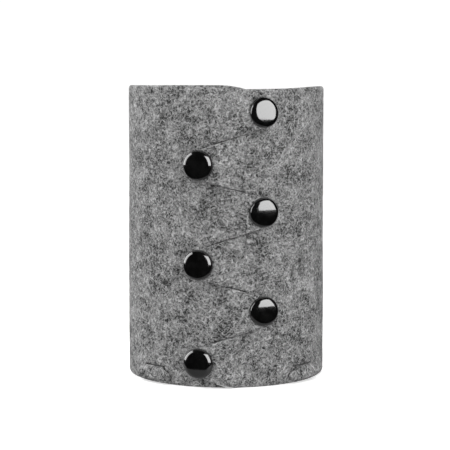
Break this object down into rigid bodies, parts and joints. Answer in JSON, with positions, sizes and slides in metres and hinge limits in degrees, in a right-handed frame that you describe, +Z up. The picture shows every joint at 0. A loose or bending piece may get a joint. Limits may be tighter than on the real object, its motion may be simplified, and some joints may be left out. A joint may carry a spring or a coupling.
{
  "type": "soft glasses case",
  "caption": "Standing tube of thick grey felt with an open top, closed at the front by interleaved tongues under domed black snaps, on a tabbed felt base.",
  "frame": {"origin": "on the tube's axis, in the plane that its lower edge stands on", "axes": "+Z up along the tube's axis; the snapped seam faces -Y, and +X is to the right of someone who looks at the seam"},
  "size_m": [0.1, 0.1048, 0.148],
  "materials": {
    "felt": "grey melange felt, matt and slightly fuzzy",
    "cap_gloss": "gloss black enamel",
    "snap_metal": "dark gunmetal plating",
    "spring_wire": "bright spring wire"
  },
  "bodies": {
    "case": {"wall": "felt", "base": "felt", "left_top_stud": "snap_metal", "left_top_eyelet": "snap_metal", "left_middle_stud": "snap_metal", "left_middle_eyelet": "snap_metal", "left_bottom_stud": "snap_metal", "left_bottom_eyelet": "snap_metal", "right_top_stud": "snap_metal", "right_top_eyelet": "snap_metal", "right_middle_stud": "snap_metal", "right_middle_eyelet": "snap_metal", "right_bottom_stud": "snap_metal", "right_bottom_eyelet": "snap_metal"},
    "left_top_tongue": {"left_top_tongue": "felt", "left_top_cap": "cap_gloss", "left_top_post": "snap_metal", "left_top_socket": "snap_metal", "left_top_spring": "spring_wire"},
    "left_middle_tongue": {"left_middle_tongue": "felt", "left_middle_cap": "cap_gloss", "left_middle_post": "snap_metal", "left_middle_socket": "snap_metal", "left_middle_spring": "spring_wire"},
    "left_bottom_tongue": {"left_bottom_tongue": "felt", "left_bottom_cap": "cap_gloss", "left_bottom_post": "snap_metal", "left_bottom_socket": "snap_metal", "left_bottom_spring": "spring_wire"},
    "right_top_tongue": {"right_top_tongue": "felt", "right_top_cap": "cap_gloss", "right_top_post": "snap_metal", "right_top_socket": "snap_metal", "right_top_spring": "spring_wire"},
    "right_middle_tongue": {"right_middle_tongue": "felt", "right_middle_cap": "cap_gloss", "right_middle_post": "snap_metal", "right_middle_socket": "snap_metal", "right_middle_spring": "spring_wire"},
    "right_bottom_tongue": {"right_bottom_tongue": "felt", "right_bottom_cap": "cap_gloss", "right_bottom_post": "snap_metal", "right_bottom_socket": "snap_metal", "right_bottom_spring": "spring_wire"}
  },
  "joints": [
    {"name": "left_top_fold", "type": "hinge", "parent": "case", "child": "left_top_tongue", "pos_m": [-0.00696, -0.04951, 0.1348], "axis": [0, 0, -1], "range_deg": [0, 110], "stiffness_Nm_per_rad": 0.004},
    {"name": "left_middle_fold", "type": "hinge", "parent": "case", "child": "left_middle_tongue", "pos_m": [-0.00696, -0.04951, 0.0864], "axis": [0, 0, -1], "range_deg": [0, 110], "stiffness_Nm_per_rad": 0.004},
    {"name": "left_bottom_fold", "type": "hinge", "parent": "case", "child": "left_bottom_tongue", "pos_m": [-0.00696, -0.04951, 0.038], "axis": [0, 0, -1], "range_deg": [0, 110], "stiffness_Nm_per_rad": 0.004},
    {"name": "right_top_fold", "type": "hinge", "parent": "case", "child": "right_top_tongue", "pos_m": [0.00696, -0.04951, 0.1093], "axis": [0, 0, 1], "range_deg": [0, 110], "stiffness_Nm_per_rad": 0.004},
    {"name": "right_middle_fold", "type": "hinge", "parent": "case", "child": "right_middle_tongue", "pos_m": [0.00696, -0.04951, 0.0609], "axis": [0, 0, 1], "range_deg": [0, 110], "stiffness_Nm_per_rad": 0.004},
    {"name": "right_bottom_fold", "type": "hinge", "parent": "case", "child": "right_bottom_tongue", "pos_m": [0.00696, -0.04951, 0.0125], "axis": [0, 0, 1], "range_deg": [0, 110], "stiffness_Nm_per_rad": 0.004}
  ]
}
